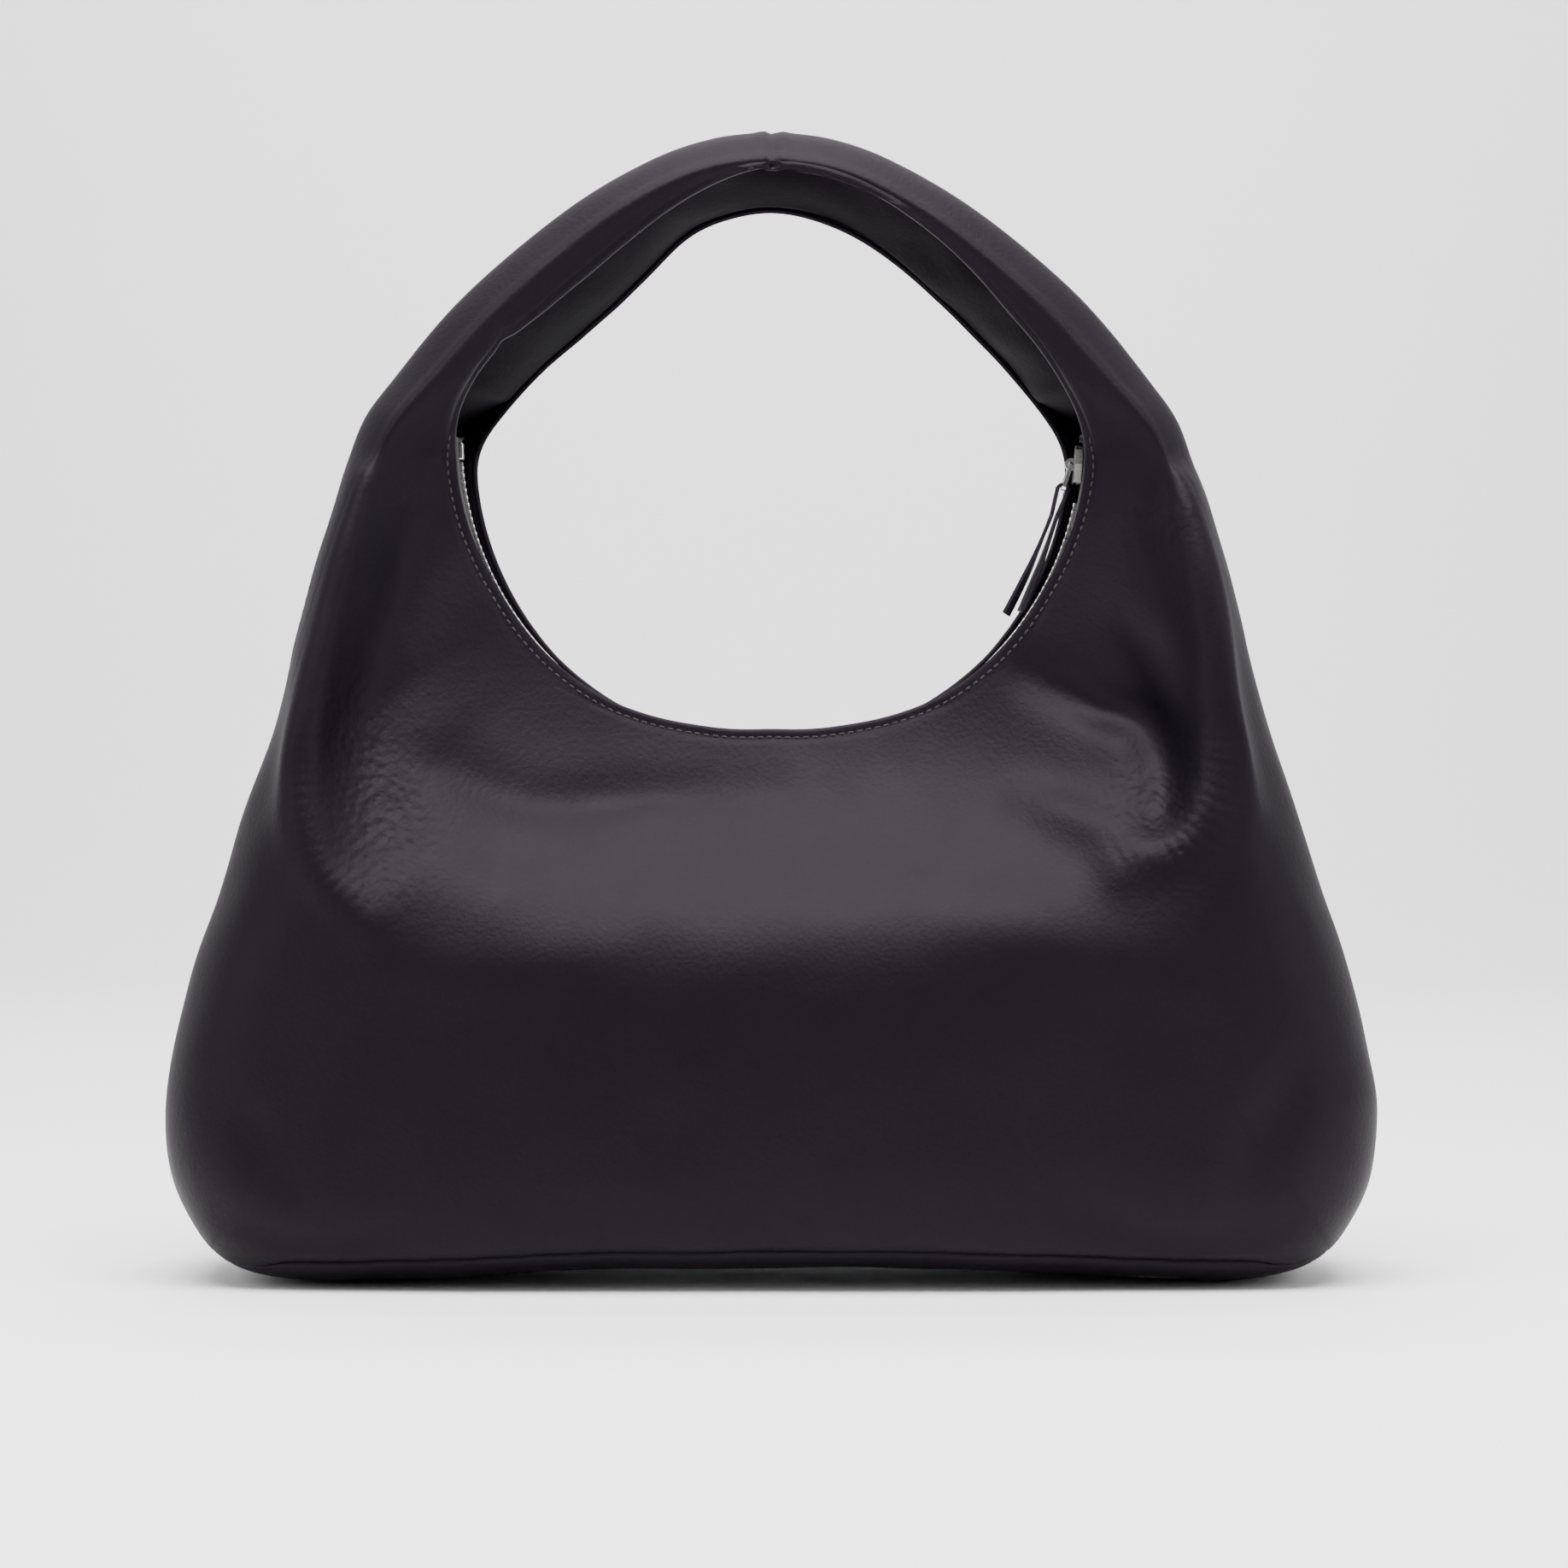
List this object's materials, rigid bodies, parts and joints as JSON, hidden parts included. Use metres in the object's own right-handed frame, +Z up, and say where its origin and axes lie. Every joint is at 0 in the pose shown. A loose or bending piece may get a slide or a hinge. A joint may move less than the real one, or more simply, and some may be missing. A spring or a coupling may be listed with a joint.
{
  "type": "hobo bag",
  "caption": "Soft leather ring-shaped hobo bag, one-piece handle, curved metal zip with folded leather pull, lined, with a zipped inner pocket.",
  "frame": {"origin": "centre of the footprint of the bag, on the surface it stands on", "axes": "+X along the bag's width, -Y towards the front, +Z up"},
  "size_m": [0.4002, 0.1368, 0.38],
  "materials": {
    "leather": "smooth nappa, semi-matt",
    "pull_leather": "smooth strap leather, cut edges",
    "lining_cloth": "plain woven",
    "zip_tape": "woven tape",
    "zip_metal": "polished nickel",
    "pocket_metal": "satin",
    "foam": "open-cell foam",
    "webbing": "woven webbing",
    "board": "fibreboard"
  },
  "bodies": {
    "bag": {"front_panel": "leather", "back_panel": "leather", "base_panel": "leather", "handle_facing": "leather", "rim_facing_front": "leather", "rim_facing_back": "leather", "lining_front": "lining_cloth", "lining_back": "lining_cloth", "pocket_panel": "lining_cloth", "zip_tape_front": "zip_tape", "zip_tape_back": "zip_tape", "pocket_zip_tape": "zip_tape", "zip_teeth_front": "zip_metal", "zip_teeth_back": "zip_metal", "zip_bottom_stop": "zip_metal", "zip_top_stops": "zip_metal", "pocket_teeth": "pocket_metal", "pocket_stops": "pocket_metal", "handle_core": "foam", "handle_webbing": "webbing", "base_board": "board"},
    "slider": {"slider_body": "zip_metal"},
    "bail": {"slider_bail": "zip_metal"},
    "pull": {"pull_loop": "pull_leather", "pull_tail_long": "pull_leather", "pull_tail_short": "pull_leather"},
    "pocket_slider": {"pocket_slider": "pocket_metal"},
    "pocket_puller": {"pocket_puller": "pocket_metal"}
  },
  "joints": [
    {"name": "zip_travel", "type": "hinge", "parent": "bag", "child": "slider", "pos_m": [0, 0, 0.2775], "axis": [0, 1, 0], "range_deg": [0, 168], "deforming": ["zip_teeth_front", "zip_teeth_back", "zip_tape_front", "zip_tape_back"]},
    {"name": "pull_bail", "type": "hinge", "parent": "slider", "child": "bail", "pos_m": [0.09999, 0, 0.26963], "axis": [0, 1, 0], "range_deg": [0, 130]},
    {"name": "pull_swing", "type": "hinge", "parent": "bail", "child": "pull", "pos_m": [0.09721, 0, 0.26107], "axis": [0, 1, 0], "range_deg": [0, 12]},
    {"name": "pocket_zip_travel", "type": "slide", "parent": "bag", "child": "pocket_slider", "axis": [-1, 0, 0], "range_m": [0, 0.118]},
    {"name": "pocket_puller_swing", "type": "hinge", "parent": "pocket_slider", "child": "pocket_puller", "pos_m": [0.066, 0.05435, 0.086], "axis": [0, 0, 1], "range_deg": [0, 150]}
  ],
  "couplings": [
    {"joint": "pull_bail", "follows": "zip_travel", "ratio": 0.77381}
  ]
}
